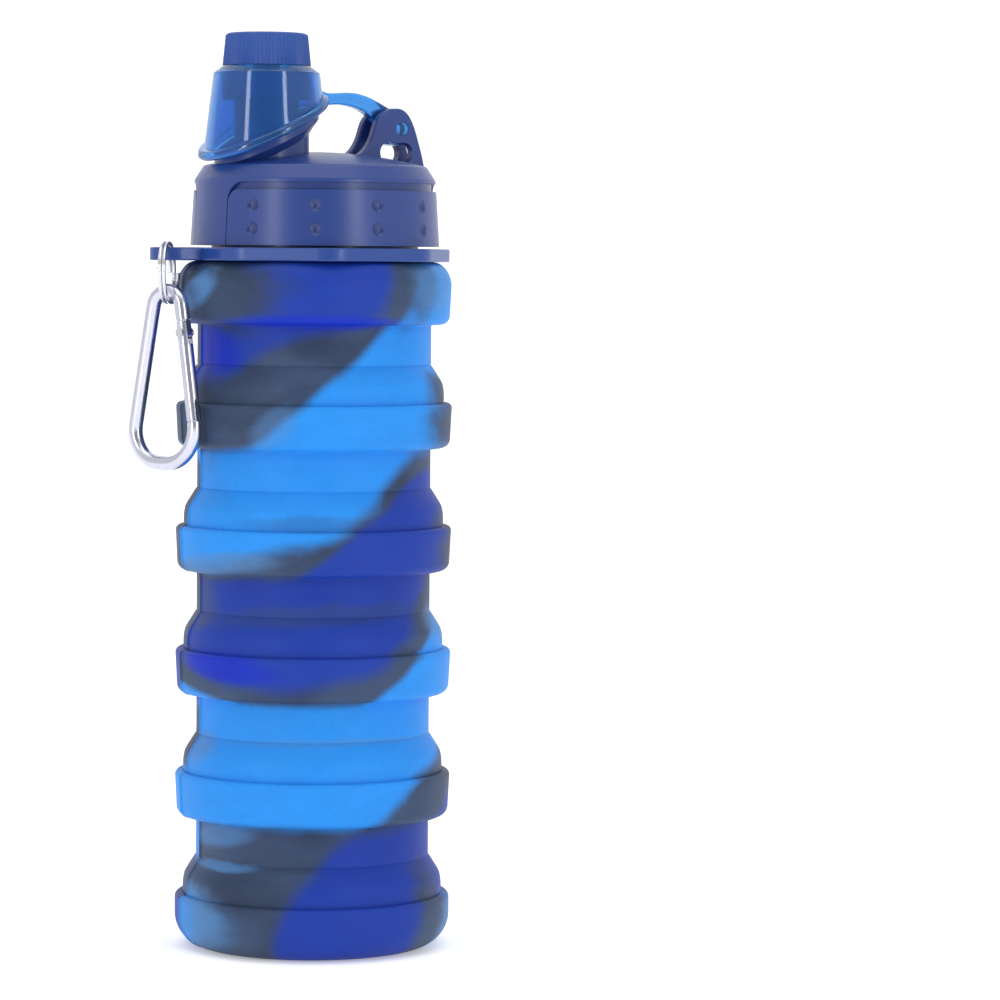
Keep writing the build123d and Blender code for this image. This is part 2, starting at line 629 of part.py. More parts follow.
def gate_frame():
    """Frame of the straight gate: origin at the rivet, -Z down along the gate."""
    touch_x, touch_z = BEND_TOP_R * cos(GATE_LEAN), BEND_TOP_R * sin(GATE_LEAN)
    along = (touch_z - BEND_TOP_R - RIVET_V) / cos(GATE_LEAN)
    rivet = (touch_x + along * sin(GATE_LEAN), 0, touch_z - along * cos(GATE_LEAN))
    return Pos(*rivet) * Rot(0, -degrees(GATE_LEAN), 0)


def gate_reach(level):
    """Distance along the gate from its rivet down to a level of the carabiner."""
    return (RIVET_V - level) / cos(GATE_LEAN)


def carabiner_body():
    """Bent rod, open on one side, with a rivet tongue and a hooked nose tongue."""
    rod = None
    for edge in rod_line():
        section = Plane(origin=edge.position_at(0), z_dir=edge.tangent_at(0)) * Circle(ROD_R)
        length = sweep(section, path=edge)
        rod = length if rod is None else rod + length
    foot = gate_reach(GATE_FOOT_V)
    latch = gate_reach(LATCH_V)
    upper = GATE_HEAD + GATE_CLEARANCE
    mouth = Pos(0, 0, (upper - foot - GATE_CLEARANCE) / 2) * Box(7, 7, upper + foot + GATE_CLEARANCE)
    rivet_tongue = Pos(0, 0, 1.2) * Box(2 * TONGUE_HALF_W, TONGUE_T, 5.6)
    rivet_tongue -= Rot(90, 0, 0) * Cylinder(RIVET_R, 10)
    rivet_tongue = fillet(
        rivet_tongue.edges().filter_by(Axis.Y).sort_by(Axis.Z)[:2], TONGUE_HALF_W - 0.1)
    nose_h = foot - latch + 2 + 1.9
    nose = Pos(0, 0, -latch + 1.9 - nose_h / 2) * Box(2 * TONGUE_HALF_W, TONGUE_T, nose_h)
    notch = Pos(-2.5 + NOTCH_HALF, 0, -latch) * Box(5, 10, 2 * NOTCH_HALF)
    tools = gate_frame()
    body = rod - tools * mouth + tools * rivet_tongue + tools * (nose - notch)
    return carabiner_place() * body


def carabiner_gate():
    """Straight sprung gate, forked at both ends over the body's tongues."""
    foot = gate_reach(GATE_FOOT_V)
    latch = gate_reach(LATCH_V)
    length = GATE_HEAD + foot
    rod = Pos(0, 0, GATE_HEAD - length / 2) * Cylinder(ROD_R, length)
    head = Pos(0, 0, -foot / 2) * Box(8, 8, foot) + Rot(90, 0, 0) * Cylinder(GATE_HEAD, 8)
    gate = rod & head
    gate -= Pos(0, 0, 2) * Box(8, FORK_SLOT, 10)
    gate -= Pos(0, 0, -foot) * Box(8, FORK_SLOT, 2 * (foot - latch + 2.2))
    gate -= Rot(90, 0, 0) * Cylinder(RIVET_R + 0.05, 10)
    gate -= Pos(0, 0, -latch) * Rot(90, 0, 0) * Cylinder(LATCH_R, 10)
    return carabiner_place() * gate_frame() * gate


def gate_rivet():
    """Rivet with two low heads through the gate's fork and the body's tongue."""
    length = 2 * (ROD_R + 0.05)
    rivet = Cylinder(RIVET_R, length)
    for side in (-1, 1):
        rivet += Pos(0, 0, side * (length + RIVET_HEAD_H) / 2) * Cylinder(RIVET_HEAD_R, RIVET_HEAD_H)
    return carabiner_place() * gate_frame() * Rot(90, 0, 0) * rivet


def gate_latch_pin():
    """Cross pin at the gate's foot that sits in the nose's notch."""
    pin = Cylinder(LATCH_R, 2 * ROD_R - 0.3)
    return carabiner_place() * gate_frame() * Pos(0, 0, -gate_reach(LATCH_V)) * Rot(90, 0, 0) * pin


# ---------------------------------------------------------------- all nodes

nodes = {"body_base": base_cup(), "body_ring_1": mouth_ring()}
for number in range(2, FOLDS + 1):
    nodes[f"body_ring_{number}"] = ring_and_tube(number)
for number in range(1, FOLDS + 1):
    nodes[f"fold_wall_{number}"] = fold_wall(ring_z(number) - TUBE_H - FOLD_H)
nodes["neck_collar"] = neck_collar()
nodes["lid_shell"] = lid_shell()
nodes["lid_gasket"] = lid_gasket()
nodes["grip_panel_front"] = grip_panel(-1)
nodes["grip_panel_back"] = grip_panel(1)
nodes["cap_hood"] = cap_hood()
nodes["cap_knob"] = cap_knob()
nodes["cap_stopper"] = cap_stopper()
nodes["cap_seal"] = cap_seal()
nodes["split_ring"] = split_ring()
nodes["carabiner_body"] = carabiner_body()
nodes["carabiner_gate"] = carabiner_gate()
nodes["gate_rivet"] = gate_rivet()
nodes["gate_latch_pin"] = gate_latch_pin()

os.makedirs("parts", exist_ok=True)
for name, shape in nodes.items():
    export_step(shape, f"parts/{name}.step")
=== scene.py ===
import math

import bmesh
import bpy
import numpy as np
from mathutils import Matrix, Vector


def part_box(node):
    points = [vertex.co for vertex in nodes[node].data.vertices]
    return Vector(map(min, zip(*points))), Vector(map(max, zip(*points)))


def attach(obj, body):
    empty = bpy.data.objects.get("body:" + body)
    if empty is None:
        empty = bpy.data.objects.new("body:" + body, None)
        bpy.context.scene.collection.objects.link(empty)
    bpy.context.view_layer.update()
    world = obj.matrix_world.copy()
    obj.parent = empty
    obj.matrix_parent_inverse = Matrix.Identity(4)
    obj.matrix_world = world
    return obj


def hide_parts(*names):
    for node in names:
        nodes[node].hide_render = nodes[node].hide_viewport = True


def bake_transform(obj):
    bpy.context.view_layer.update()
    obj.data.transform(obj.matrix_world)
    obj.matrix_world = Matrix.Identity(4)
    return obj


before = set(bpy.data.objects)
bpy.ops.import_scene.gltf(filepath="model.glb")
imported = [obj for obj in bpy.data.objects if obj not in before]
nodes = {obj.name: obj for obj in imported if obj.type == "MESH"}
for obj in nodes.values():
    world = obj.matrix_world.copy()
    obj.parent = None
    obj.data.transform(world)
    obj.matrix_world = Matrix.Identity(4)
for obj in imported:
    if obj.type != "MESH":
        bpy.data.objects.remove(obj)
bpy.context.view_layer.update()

scene = bpy.context.scene

# ---------------------------------------------------------------- measures

MM = 0.001
FOLDS = 5
RING_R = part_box("body_ring_3")[1].x
MOUTH_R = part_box("body_ring_1")[1].x
FOOT_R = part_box("fold_wall_3")[1].x
BASE_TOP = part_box("body_base")[1].z
FOLD_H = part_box("fold_wall_3")[1].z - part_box("fold_wall_3")[0].z
TUBE_R = 29.6 * MM  # the narrow tube below each ring
TUBE_BORE_R = 27.6 * MM
TUBE_H = 10.0 * MM
LIP_R = 32.95 * MM  # inner edge of a ring's top, and of the base's top
RING_BORE_R = 32.6 * MM
RING_EDGE = 1.2 * MM
MOUTH_SHOULDER = (4.8 * MM, 6.2 * MM)  # inwards and downwards
PANEL_R = 31 * MM  # where the grip panels' dimples lie
DIMPLE_HEIGHTS = (4.2 * MM, 10.1 * MM)  # above the grip panels' lower edge
DIMPLE_SPACING = 30.0  # degrees

# The mould's parting lines, in degrees from the X axis: towards the front on the left,
# towards the back on the right.
PART_LINE = 18.0
SEAMS = (math.radians(180 + PART_LINE), math.radians(PART_LINE))
SEAM_TURN = 360 - 90 + PART_LINE  # the left one, in degrees to the right of the front

# ---------------------------------------------------------------- node helpers


class NodeTree:
    """Short calls that add nodes to a tree and link them."""

    def __init__(self, tree):
        self.tree = tree

    def link(self, value, socket):
        """Feed a socket from another socket, or give it a constant."""
        if isinstance(value, bpy.types.NodeSocket):
            self.tree.links.new(value, socket)
        else:
            socket.default_value = value

    def node(self, kind, **settings):
        made = self.tree.nodes.new(kind)
        for key, value in settings.items():
            setattr(made, key, value)
        return made

    def math(self, operation, a, b=0.0, c=0.0):
        made = self.node("ShaderNodeMath", operation=operation)
        for value, socket in zip((a, b, c), made.inputs):
            self.link(value, socket)
        return made.outputs[0]

    def around(self, value, middle, span):
        """Bring a value of 0 to 1 to a range of the given span round a middle."""
        return self.math("MULTIPLY_ADD", value, span, middle - span / 2)

    def ramp_step(self, value, low, high, start=0.0, finish=1.0):
        """Smooth step of value from start (at low) to finish (at high)."""
        made = self.node("ShaderNodeMapRange", interpolation_type="SMOOTHSTEP", clamp=True)
        for given, socket in zip((value, low, high, start, finish), made.inputs):
            self.link(given, socket)
        return made.outputs[0]

    def noise(self, place, scale, detail=3.0, rough=0.5, distortion=0.0):
        made = self.node("ShaderNodeTexNoise")
        self.link(place, made.inputs["Vector"])
        made.inputs["Scale"].default_value = scale
        made.inputs["Detail"].default_value = detail
        made.inputs["Roughness"].default_value = rough
        made.inputs["Distortion"].default_value = distortion
        return made.outputs["Fac"]

    def mix(self, factor, a, b, blend="MIX"):
        """Mix two colours; 6, 7 and 2 are the node's colour sockets."""
        made = self.node("ShaderNodeMix", data_type="RGBA", blend_type=blend)
        self.link(factor, made.inputs["Factor"])
        self.link(a, made.inputs[6])
        self.link(b, made.inputs[7])
        return made.outputs[2]

    def shaded(self, colour, level):
        """A colour made lighter or darker by a level of about 1."""
        grey = self.node("ShaderNodeCombineColor")
        for socket in grey.inputs:
            self.link(level, socket)
        return self.mix(1.0, colour, grey.outputs[0], "MULTIPLY")

    def scaled(self, place, x, y, z):
        made = self.node("ShaderNodeVectorMath", operation="MULTIPLY")
        self.link(place, made.inputs[0])
        made.inputs[1].default_value = (x, y, z)
        return made.outputs[0]

    def split(self, place):
        made = self.node("ShaderNodeSeparateXYZ")
        self.link(place, made.inputs[0])
        return made.outputs

    def turn(self, x, y):
        """Degrees round the bottle, to the right of the front."""
        radians = self.math("ARCTAN2", x, self.math("MULTIPLY", y, -1.0))
        return self.math("MULTIPLY", radians, 180 / math.pi)

    def bump(self, height, strength, distance):
        made = self.node("ShaderNodeBump")
        made.inputs["Strength"].default_value = strength
        made.inputs["Distance"].default_value = distance
        self.link(height, made.inputs["Height"])
        return made.outputs[0]

    def object_place(self):
        return self.node("ShaderNodeTexCoord").outputs["Object"]


class Shader(NodeTree):
    """A material under construction, round the Principled BSDF."""

    def __init__(self, name):
        self.material = bpy.data.materials.new(name)
        self.material.use_nodes = True
        super().__init__(self.material.node_tree)
        self.surface = self.tree.nodes["Principled BSDF"]

    def set(self, **values):
        """Feed the surface's sockets; an underscore stands for a space in a name."""
        for key, value in values.items():
            self.link(value, self.surface.inputs[key.replace("_", " ")])


def srgb(red, green, blue):
    """Linear colour with alpha from display values of 0 to 255."""
    shares = [c / 255 for c in (red, green, blue)]
    linear = [c / 12.92 if c <= 0.04045 else ((c + 0.055) / 1.055) ** 2.4 for c in shares]
    return (*linear, 1.0)


# ---------------------------------------------------------------- marbled silicone

ROYAL = srgb(22, 55, 152)
BRIGHT_ROYAL = srgb(8, 40, 176)
DARK_GREY = srgb(43, 57, 82)
SLATE = srgb(58, 76, 106)
LIGHT = srgb(36, 136, 222)
DULL_LIGHT = srgb(78, 126, 178)
GREY = "grey"  # stands for the clouded mixture of dark grey and slate

BORDER_FROM, BORDER_SPAN = -75, 181  # the degrees that the borders below run over
LEVEL_FROM, LEVEL_SPAN = -40, 240  # the millimetres that their curves can hold

# Colour borders on the front half, from the top down, as (degrees to the right of the
# front, height in millimetres). Each turns the colour above it into the next one, and
# the top one starts from royal. The number before the points is how soft the border
# is, in millimetres to each side.
BORDERS = [
    (GREY, 2.8, [
        (-75, 143), (-52, 145), (-40, 146.5), (-33, 149.5), (-20, 152.5), (-5, 155.3),
        (10, 157), (25, 159.5), (30, 163), (36, 174), (44, 186), (106, 192)]),
    (LIGHT, 1.6, [
        (-75, 126.2), (-49, 126.6), (-30, 127.4), (-22, 129.6), (-15, 133.2), (-6, 137.4),
        (0, 140.6), (5, 143.5), (14, 147), (21, 150), (28, 153.5), (36, 157.6),
        (42, 161.5), (46, 166), (51, 174), (56, 186), (106, 192)]),
    (GREY, 2.4, [
        (-75, 97.6), (-49, 98.2), (-30, 100.6), (-13, 103.3), (10, 106), (21, 111),
        (30, 114.3), (34, 116.7), (49, 123.3), (77, 126), (106, 128)]),
    (ROYAL, 1.4, [
        (-75, 94), (-30, 95), (-8, 95.8), (0, 98.6), (8, 102), (14, 105), (19, 107.6),
        (33, 112), (44, 116), (56, 119.5), (84, 121.5), (90, 118), (106, 116)]),
    (GREY, 2.6, [
        (-75, 78), (-64, 74.3), (-56, 72.3), (-39, 69.7), (-13, 68), (10, 69.9),
        (29, 73), (38, 77.4), (50, 81.6), (61, 88.7), (72, 94), (80, 103), (106, 106)]),
    (LIGHT, 1.3, [
        (-75, 68), (-67, 67.2), (-49, 65.6), (-35, 63.9), (22, 63.9), (31, 67.2),
        (40, 70.6), (46, 74), (55, 77), (63, 80), (81, 86), (106, 90)]),
    (GREY, 2.2, [
        (-75, 33.2), (18, 33.0), (27, 34.0), (38, 38.8), (51, 44.6), (66, 47.5),
        (80, 50), (106, 52)]),
    (ROYAL, 2.6, [
        (-75, -30), (-27, -30), (-20, -10), (-15, 6), (-8, 16), (2, 22.5), (9, 27.0),
        (17, 30.0), (28, 31.6), (48, 32.6), (66, 34), (80, 40), (106, 44)]),
]

# Soft patches on top of that: colour, centre and half size (each in degrees and
# millimetres), slope in millimetres per degree, and strength.
PATCHES = [
    (GREY, -50, 167.0, 46, 12.5, 0.0, 1.0),
    (DULL_LIGHT, -58, 167.0, 15, 5.0, 0.20, 0.9),
    (BRIGHT_ROYAL, 0, 159.0, 46, 2.2, 0.0, 0.85),
    (BRIGHT_ROYAL, -58, 152.0, 22, 6.5, -0.05, 0.95),
    (GREY, 50, 169.0, 15, 12.0, 0.0, 0.75),
    (DULL_LIGHT, 62, 169.0, 20, 10.0, 0.0, 0.5),
    (DULL_LIGHT, -17, 133.0, 12, 5.5, 0.3, 0.4),
    (GREY, 96, 133.0, 50, 10.5, 0.0, 1.0),
    (GREY, 80, 142.5, 22, 5.5, 0.0, 0.9),
    (DULL_LIGHT, -45, 98.8, 36, 3.4, 0.05, 0.65),
    (GREY, -2, 109.2, 34, 2.4, 0.0, 0.35),
    (GREY, 94, 101.5, 36, 9.0, 0.0, 0.95),
    (GREY, 88, 109.5, 24, 4.0, 0.0, 0.8),
    (BRIGHT_ROYAL, -42, 73.2, 30, 4.2, -0.05, 0.9),
    (GREY, 4, 86.3, 74, 3.2, 0.02, 0.42),
    (GREY, -66, 88.0, 16, 7.0, 0.0, 0.5),
    (DULL_LIGHT, 86, 83.0, 26, 5.0, 0.0, 0.7),
    (DULL_LIGHT, -68, 52.0, 18, 5.0, 0.0, 0.6),
    (DULL_LIGHT, 10, 54.6, 70, 1.2, 0.0, 0.35),
    (DULL_LIGHT, -54, 30.2, 27, 3.6, 0.03, 0.7),
    (DULL_LIGHT, -52, 22.6, 26, 1.5, 0.0, 0.8),
    (DULL_LIGHT, -66, 9.5, 36, 9.0, -0.06, 0.9),
    (LIGHT, -74, 8.0, 20, 8.0, 0.0, 0.6),
    (GREY, 64, 6.0, 18, 20.0, 0.0, 1.0),
    (DULL_LIGHT, 86, 5.0, 20, 13.0, 0.0, 0.85),
]

# Strips beside the parting line on the left, on the back half's side: colour, and
# height range in millimetres.
STRIPS = [
    (GREY, 128, 176), (GREY, 78, 124), (ROYAL, 63, 77), (GREY, 44, 62),
    (LIGHT, 22, 46), (GREY, 13, 23), (ROYAL, -4, 13),
]

BACK_SHIFT = 26 * MM  # the back half repeats the front half, lower down by this
SLOPE_STEP = 0.012  # share of the borders' span over which their slope is measured
SLOPE_RUN = 1.2 * MM  # the same step as a length round the silicone
STEEPEST = 14.0  # widest that a slope makes a border, as a multiple
PATCH_EDGE = (1.15, 0.45)  # where a patch starts and is full, in half sizes
STRIP_EDGE = 1.5  # millimetres
STRIP_FROM, STRIP_FULL = 26.0, 16.0  # degrees before the parting line


def curve_of(shader, factor, points):
    """Float Curve through (degrees, millimetres) points; returns metres."""
    made = shader.node("ShaderNodeFloatCurve")
    made.inputs["Factor"].default_value = 1.0
    shader.link(factor, made.inputs["Value"])
    line = made.mapping.curves[0]
    lifted = [((a - BORDER_FROM) / BORDER_SPAN, (z - LEVEL_FROM) / LEVEL_SPAN)
              for a, z in points]
    while len(line.points) < len(lifted):
        line.points.new(0.5, 0.5)
    for point, (x, y) in zip(line.points, lifted):
        point.location = (x, y)
        point.handle_type = "AUTO_CLAMPED"
    made.mapping.update()
    up = shader.math("MULTIPLY", made.outputs[0], LEVEL_SPAN * MM)
    return shader.math("ADD", up, LEVEL_FROM * MM)


def silicone():
    """Marbled silicone: blues and greys in slanted bands that break at the parting lines."""
    s = Shader("silicone_marbled")
    place = s.node("ShaderNodeAttribute", attribute_type="GEOMETRY",
                   attribute_name="rest_place").outputs["Vector"]
    x, y, z = s.split(place)
    flow = s.noise(place, 34, detail=2.0)
    smoke = s.noise(s.scaled(place, 1, 1, 2.0), 110, rough=0.55)
    cloud = s.noise(s.scaled(place, 1, 1, 2.4), 30, distortion=0.5)
    grain = s.noise(place, 1400, detail=2.0, rough=0.6)
    grey = s.mix(s.ramp_step(cloud, 0.30, 0.72), DARK_GREY, SLATE)

    def tint(colour):
        return grey if colour == GREY else colour

    turn = s.math("WRAP", s.turn(x, y), float(SEAM_TURN), float(SEAM_TURN - 360))
    back = s.math("GREATER_THAN", turn, float(SEAM_TURN - 180))
    local = s.math("SUBTRACT", turn, s.math("MULTIPLY", back, 180.0))
    level = s.math("ADD", z, s.math("MULTIPLY", back, BACK_SHIFT))
    level = s.math("ADD", level, s.around(flow, 0.0, 2.4 * MM))
    level = s.math("ADD", level, s.around(smoke, 0.0, 1.4 * MM))
    along = s.math("DIVIDE", s.math("SUBTRACT", local, float(BORDER_FROM)), float(BORDER_SPAN))
    ahead = s.math("ADD", along, SLOPE_STEP)

    colour = ROYAL
    for following, softness, points in BORDERS:
        border = curve_of(s, along, points)
        rise = s.math("SUBTRACT", curve_of(s, ahead, points), border)
        slope = s.math("DIVIDE", rise, SLOPE_RUN)
        slant = s.math("SQRT", s.math("MULTIPLY_ADD", slope, slope, 1.0))
        width = s.math("MULTIPLY", s.math("ADD", smoke, 0.5), softness * MM)
        width = s.math("MULTIPLY", width, s.math("MINIMUM", slant, STEEPEST))
        top = s.math("ADD", border, width)
        factor = s.ramp_step(level, top, s.math("SUBTRACT", border, width))
        colour = s.mix(factor, colour, tint(following))
    for patch, degrees, height, half_a, half_z, slope, strength in PATCHES:
        across = s.math("SUBTRACT", local, float(degrees))
        tilt = s.math("MULTIPLY", across, -slope * MM)
        rise = s.math("ADD", s.math("SUBTRACT", level, height * MM), tilt)
        u = s.math("POWER", s.math("DIVIDE", across, float(half_a)), 2.0)
        v = s.math("POWER", s.math("DIVIDE", rise, half_z * MM), 2.0)
        far = s.math("ADD", s.math("SQRT", s.math("ADD", u, v)), s.around(smoke, 0.0, 0.5))
        colour = s.mix(s.ramp_step(far, *PATCH_EDGE, 0.0, strength), colour, tint(patch))
    beside = s.ramp_step(turn, SEAM_TURN - STRIP_FROM, SEAM_TURN - STRIP_FULL)
    for strip, low, high in STRIPS:
        above = s.ramp_step(z, (low - STRIP_EDGE) * MM, (low + STRIP_EDGE) * MM)
        below = s.ramp_step(z, (high + STRIP_EDGE) * MM, (high - STRIP_EDGE) * MM)
        inside = s.math("MULTIPLY", above, below)
        colour = s.mix(s.math("MULTIPLY", inside, beside), colour, tint(strip))
    tone = s.math("MULTIPLY", s.around(smoke, 1.0, 0.20), s.around(grain, 1.0, 0.22))
    s.set(Base_Color=s.shaded(colour, tone), Roughness=s.around(smoke, 0.51, 0.14),
          Normal=s.bump(grain, 0.12, 0.2 * MM), Specular_IOR_Level=0.2)
    return s.material


# ---------------------------------------------------------------- plastics and metals

# Painted shade: a dark blue laid into the grip panels' dimples, standing for the shade that
# falls in them.
DIMPLE_SHADE = srgb(14, 26, 66)
DIMPLE_SHADE_EDGE = (2.0 * MM, 1.1 * MM)  # from a dimple's centre: where the painted shade starts and is full
DIMPLE_SHADE_SHARE = 0.35


def plastic(name, colour, rough, grain_bump=0.05, tone=0.10):
    """Moulded plastic with faint flow marks, fine surface grain and uneven gloss."""
    s = Shader(name)
    place = s.object_place()
    flow = s.noise(s.scaled(place, 1, 1, 0.35), 70, rough=0.55, distortion=0.6)
    grain = s.noise(place, 2600, detail=2.0, rough=0.6)
    s.set(Base_Color=s.shaded(colour, s.around(flow, 1.0, tone)),
          Roughness=s.around(flow, rough, 0.12), Normal=s.bump(grain, grain_bump, 0.1 * MM),
          Specular_IOR_Level=0.5)
    return s


def grip_plastic(colour):
    """Lid plastic with painted shade darkening the dimples of the grip panels."""
    s = plastic("grip_plastic", colour, 0.32, 0.06)
    x, y, z = s.split(s.object_place())
    across = s.math("WRAP", s.turn(x, y), DIMPLE_SPACING / 2, -DIMPLE_SPACING / 2)
    across = s.math("MULTIPLY", across, math.radians(1) * PANEL_R)
    dimple_shade = 0.0
    for height in DIMPLE_HEIGHTS:
        rise = s.math("SUBTRACT", z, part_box("grip_panel_front")[0].z + height)
        squares = s.math("ADD", s.math("POWER", across, 2.0), s.math("POWER", rise, 2.0))
        dimple_shade = s.math("ADD", dimple_shade, s.ramp_step(s.math("SQRT", squares), *DIMPLE_SHADE_EDGE))
    base = s.surface.inputs["Base Color"].links[0].from_socket
    # Painted shade in the dimples, mixed over the plastic's own colour.
    s.set(Base_Color=s.mix(s.math("MULTIPLY", dimple_shade, DIMPLE_SHADE_SHARE), base, DIMPLE_SHADE))
    return s.material


def clear_blue():
    """Tinted see-through plastic of the hood."""
    s = plastic("clear_blue_plastic", srgb(62, 150, 230), 0.09, 0.002, 0.06)
    s.set(Transmission_Weight=0.86, IOR=1.49)
    return s.material


def metal(name, colour, rough, brushed):
    """Bright metal with fine drawing marks and handling wear."""
    s = Shader(name)
    place = s.object_place()
    drawn = s.noise(s.scaled(place, 1, 1, 0.06), 2400, rough=0.6)
    wear = s.noise(place, 240, detail=4.0, rough=0.6)
    s.set(Base_Color=s.shaded(colour, s.around(wear, 1.0, 0.16)),
          Roughness=s.around(drawn, rough, 0.16), Normal=s.bump(drawn, brushed, 0.05 * MM),
          Metallic=1.0)
    return s.material


# ---------------------------------------------------------------- turned silicone pieces

AROUND = 240  # even steps round a piece
SEAM_OFFSETS = (-2.4, -1.6, -1.1, -0.8, -0.5, -0.25, 0, 0.25, 0.5, 0.8, 1.1, 1.6, 2.4)  # degrees
SEAM_CLEAR = math.radians(3)  # no even step lies closer to a parting line
SEAM_RISE = 0.42 * MM
SEAM_WIDTH = 0.8  # degrees
SEAM_FROM_R = 20 * MM  # underneath, the parting line stops at this radius
SHARP_ANGLE = math.radians(38)


def off_seam(angle, seam):
    """Angle from a parting line, in radians of either sign."""
    return (angle - seam + math.pi) % (2 * math.pi) - math.pi


def azimuths():
    """Angles round the body, closer together at the two parting lines."""
    even = np.linspace(0, 2 * math.pi, AROUND, endpoint=False)
    close = [seam + math.radians(offset) for seam in SEAMS for offset in SEAM_OFFSETS]
    far = [a for a in even if all(abs(off_seam(a, seam)) > SEAM_CLEAR for seam in SEAMS)]
    return sorted(a % (2 * math.pi) for a in far + close)


def seam_height(angle):
    """How far the parting line stands out at an angle, in metres."""
    offs = [math.degrees(off_seam(angle, seam)) for seam in SEAMS]
    return sum(SEAM_RISE * math.exp(-((off / SEAM_WIDTH) ** 2)) for off in offs)


def arc(centre_r, centre_z, radius, start, finish, steps):
    """Points of a rounded corner, angles in degrees from the outward direction."""
    turns = [math.radians(start + (finish - start) * i / steps) for i in range(steps + 1)]
    return [(centre_r + radius * math.cos(t), centre_z + radius * math.sin(t)) for t in turns]


def fix_normals(mesh):
    work = bmesh.new()
    work.from_mesh(mesh)
    bmesh.ops.recalc_face_normals(work, faces=work.faces)
    work.to_mesh(mesh)
    work.free()


def turned(name, outer, inner, material):
    """A closed lathe piece; the parting line stands out along its outer outline.

    The attribute rest_place holds each point's place at rest. The marbling follows it,
    so it stays on the silicone as the folds move.
    """
    angles = azimuths()
    outline = outer + inner
    rows, count = len(outline), len(angles)
    points, faces = [], []
    for index, (radius, height) in enumerate(outline):
        marked = index < len(outer) and radius > SEAM_FROM_R
        for angle in angles:
            reach = radius + (seam_height(angle) if marked else 0.0)
            points.append((reach * math.cos(angle), reach * math.sin(angle), height))
    for i in range(rows):
        j = (i + 1) % rows
        for k in range(count):
            m = (k + 1) % count
            faces.append((i * count + k, i * count + m, j * count + m, j * count + k))
    mesh = bpy.data.meshes.new(name)
    mesh.from_pydata(points, [], faces)
    mesh.validate()
    stored = mesh.attributes.new("rest_place", "FLOAT_VECTOR", "POINT")
    stored.data.foreach_set("vector", np.array(points, np.float32).ravel())
    piece = bpy.data.objects.new(name, mesh)
    scene.collection.objects.link(piece)
    fix_normals(mesh)
    mesh.polygons.foreach_set("use_smooth", [True] * len(mesh.polygons))
    mesh.set_sharp_from_angle(angle=SHARP_ANGLE)
    mesh.materials.append(material)
    return piece


def ring_outline(low, high, radius, top_edge, top_rise, top_inner, bore):
    """Tube, concave corner, ring with rounded edges, then back down the inside.

    The ring reaches from low to high, and its tube hangs below low. The top edge is
    rounded over top_edge inwards and top_rise downwards.
    """
    crease = 0.25 * MM
    foot_edge = 2.3 * MM
    foot_flat = 0.4 * MM
    draft = 0.4 * MM
    corner_r = 0.6 * MM
    tube_foot = low - TUBE_H
    foot_r = radius - draft
    floor = low + 2.6 * MM
    outer = [
        (TUBE_R, tube_foot), (TUBE_R + 0.05 * MM, tube_foot + 0.4 * MM),
        (TUBE_R, tube_foot + 1.1 * MM), (TUBE_R, low - 3 * MM), (TUBE_R, low - crease * 3),
    ]
    outer += arc(TUBE_R + crease * 2, low - crease * 2, crease * 2, 180, 90, 4)
    outer += [(foot_r - foot_edge - foot_flat, low)]
    outer += arc(foot_r - foot_edge, low + foot_edge, foot_edge, -90, -4, 9)
    corner = arc(0, 0, 1.0, 0, 90, 10)
    outer += [(radius - top_edge + top_edge * c, high - top_rise + top_rise * t)
              for c, t in corner]
    outer += [(top_inner, high)]
    inner = [(top_inner, high - 1.0 * MM), (bore, high - 1.8 * MM), (bore, floor)]
    inner += arc(bore - corner_r, floor, corner_r, 0, -90, 3)
    inner += [(TUBE_BORE_R + 0.3 * MM, low + 2.0 * MM), (TUBE_BORE_R, low + 1.6 * MM),
              (TUBE_BORE_R, tube_foot)]
    return outer, inner


def fold_outline(foot):
    """The thin shouldered wall between a ring's lip and the tube above it."""
    wall = 1.5 * MM
    top = foot + FOLD_H
    outer = [(FOOT_R + r * MM, foot + z * MM)
             for r, z in ((0, -0.3), (0, 0), (0.05, 1.4), (0, 2.8), (-0.12, 3.7))]
    outer += [(r * MM, foot + z * MM)
              for r, z in ((32.55, 4.8), (32.05, 5.8), (31.35, 6.9), (30.6, 8.1), (29.95, 9.1))]
    outer += [(TUBE_R - 0.12 * MM, top - 0.12 * MM), (TUBE_R - 0.1 * MM, top + 0.1 * MM)]
    inner = [(r - wall, z) for r, z in reversed(outer)]
    return outer, inner


def base_outline():
    """Bottom cup: flat foot with a fine ring groove, round corner, ring, hollow inside."""
    centre_r = 0.4 * MM
    corner_r = 8.5 * MM
    edge_r = 1.3 * MM
    bore = 32.8 * MM
    inner_corner_r = 6.3 * MM
    inner_corner_z = 8.7 * MM
    outer = [(centre_r, 0.0)]
    outer += [(r * MM, z * MM) for r, z in ((18.5, 0), (19.0, 0.5), (19.5, 0), (25.0, 0))]
    outer += arc(RING_R - corner_r, corner_r, corner_r, -88, 0, 14)
    outer += [(RING_R, 11.0 * MM)]
    outer += arc(RING_R - edge_r, BASE_TOP - edge_r, edge_r, 0, 90, 7)
    outer += [(LIP_R, BASE_TOP)]
    inner = [(LIP_R, BASE_TOP - 1.0 * MM), (bore, BASE_TOP - 1.8 * MM), (bore, inner_corner_z)]
    inner += arc(bore - inner_corner_r, inner_corner_z, inner_corner_r, -10, -90, 6)
    inner += [(centre_r, 2.4 * MM)]
    return outer, inner


